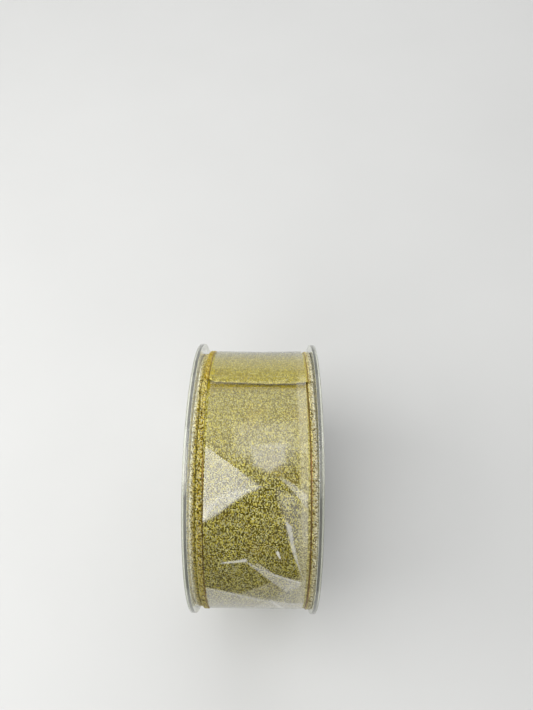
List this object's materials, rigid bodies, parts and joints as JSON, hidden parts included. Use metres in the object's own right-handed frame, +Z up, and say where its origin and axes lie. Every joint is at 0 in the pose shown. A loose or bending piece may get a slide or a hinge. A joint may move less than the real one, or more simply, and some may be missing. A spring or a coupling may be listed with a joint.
{
  "type": "ribbon spool",
  "caption": "Roll of gold wire-edged gift ribbon on a clear snap-together plastic spool, wrapped in a loose clear film band and standing on its rims.",
  "frame": {"origin": "on the surface that the spool stands on, under the spool's axis and midway between its flanges", "axes": "+X along the spool's axis from the left flange to the right flange, +Z up, +Y away from the viewer"},
  "size_m": [0.044, 0.1016, 0.1016],
  "materials": {
    "clear_plastic": "gloss",
    "label_paper": "satin",
    "paperboard": "matte",
    "tape": "satin",
    "gold_ribbon": "satin",
    "gold_thread": "satin",
    "copper_wire": "polished",
    "clear_film": "gloss"
  },
  "bodies": {
    "hub_half": {"left_flange": "clear_plastic"},
    "cap_half": {"right_flange": "clear_plastic", "side_label": "label_paper"},
    "roll": {"core_tube": "paperboard", "start_tape": "tape", "ribbon_roll": "gold_ribbon", "left_edge_cord": "gold_thread", "right_edge_cord": "gold_thread", "left_edge_wire": "copper_wire", "right_edge_wire": "copper_wire", "film_band": "clear_film", "film_seam_tape": "tape"}
  },
  "joints": [
    {"name": "roll_spin", "type": "hinge", "parent": "hub_half", "child": "roll", "pos_m": [0, 0, 0.0508], "axis": [1, 0, 0], "continuous": true},
    {"name": "flange_pull", "type": "slide", "parent": "hub_half", "child": "cap_half", "axis": [1, 0, 0], "range_m": [0, 0.016]}
  ]
}
